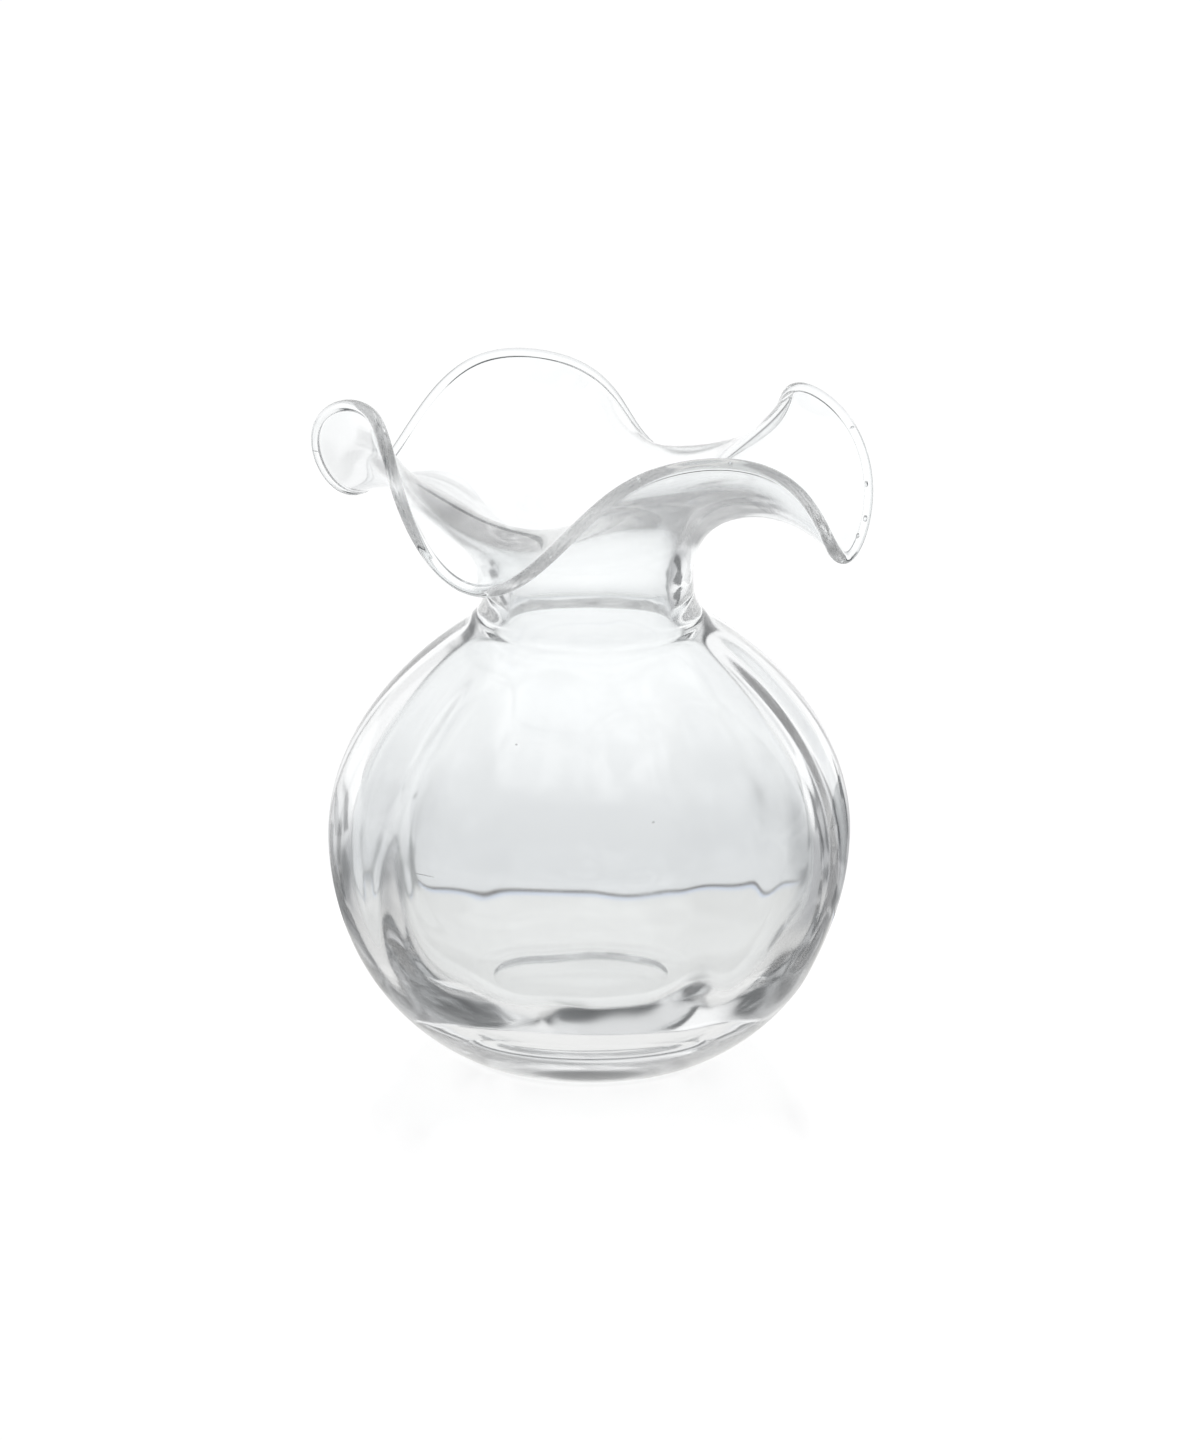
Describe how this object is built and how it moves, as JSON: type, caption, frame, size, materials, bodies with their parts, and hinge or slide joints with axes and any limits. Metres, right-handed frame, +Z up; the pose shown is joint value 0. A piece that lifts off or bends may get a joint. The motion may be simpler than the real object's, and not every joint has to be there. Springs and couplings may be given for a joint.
{
  "type": "flower vase",
  "caption": "Round clear glass flower vase with a softly lobed body, a short waisted neck and a wide ruffled lip. It stands on a flat ground ring.",
  "frame": {"origin": "on the table, under the middle of the foot", "axes": "+Z up through the mouth; -Y towards the side that the picture shows; +X to the right in the picture"},
  "size_m": [0.1319, 0.13, 0.1619],
  "materials": {
    "clear_glass": "clear, fire-polished, with a few seed bubbles"
  },
  "bodies": {
    "root": {"foot": "clear_glass", "belly": "clear_glass", "shoulder": "clear_glass", "neck": "clear_glass", "flare": "clear_glass", "ruffle": "clear_glass", "rim": "clear_glass"}
  },
  "joints": []
}
